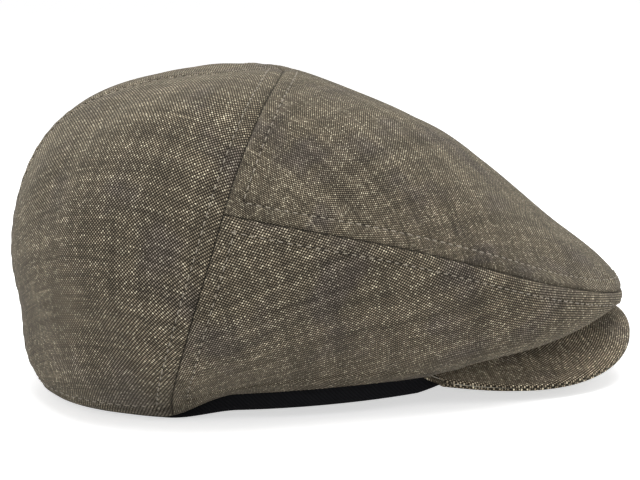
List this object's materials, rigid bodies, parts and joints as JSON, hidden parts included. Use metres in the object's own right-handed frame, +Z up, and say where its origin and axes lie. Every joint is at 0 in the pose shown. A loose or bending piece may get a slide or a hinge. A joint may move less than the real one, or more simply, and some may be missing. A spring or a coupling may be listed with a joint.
{
  "type": "newsboy cap",
  "caption": "Flat newsboy cap in slubby chambray cloth, with a full crown drawn down over a stiff cloth-covered visor and a black sweatband",
  "frame": {"origin": "Under the middle of the cap's length and width, on the surface the cap lies on", "axes": "+X forward, towards the visor; +Y to the wearer's left; +Z up, from the head opening to the crown point"},
  "size_m": [0.2828, 0.2138, 0.1453],
  "materials": {
    "outer_cloth": "slubby chambray plain weave, dark and cream yarns, matt",
    "interfacing": "off-white non-woven interfacing, matt",
    "lining_cloth": "dark satin lining, low sheen",
    "sweatband_cloth": "black brushed cotton, matt",
    "tape": "dark woven cotton tape, matt",
    "visor_board": "pressed stiffener sheet, matt",
    "snap_metal": "dulled nickel plate"
  },
  "bodies": {
    "crown": {"top_panel": "outer_cloth", "side_panel_right": "outer_cloth", "side_panel_left": "outer_cloth", "back_panel_right": "outer_cloth", "back_panel_left": "outer_cloth", "crown_interfacing": "interfacing", "lining_top": "lining_cloth", "lining_side_right": "lining_cloth", "lining_side_left": "lining_cloth", "lining_back_right": "lining_cloth", "lining_back_left": "lining_cloth", "sweatband": "sweatband_cloth", "stay_tape": "tape", "snap_cap": "snap_metal", "snap_socket": "snap_metal"},
    "visor": {"visor_top_cover": "outer_cloth", "visor_under_cover": "outer_cloth", "visor_board": "visor_board", "snap_stud": "snap_metal", "snap_post": "snap_metal"}
  },
  "joints": [
    {"name": "visor_tilt", "type": "hinge", "parent": "crown", "child": "visor", "pos_m": [0.0345, 0, 0.0126], "axis": [0, 1, 0], "range_deg": [0, 8], "stiffness_Nm_per_rad": 0.4}
  ]
}
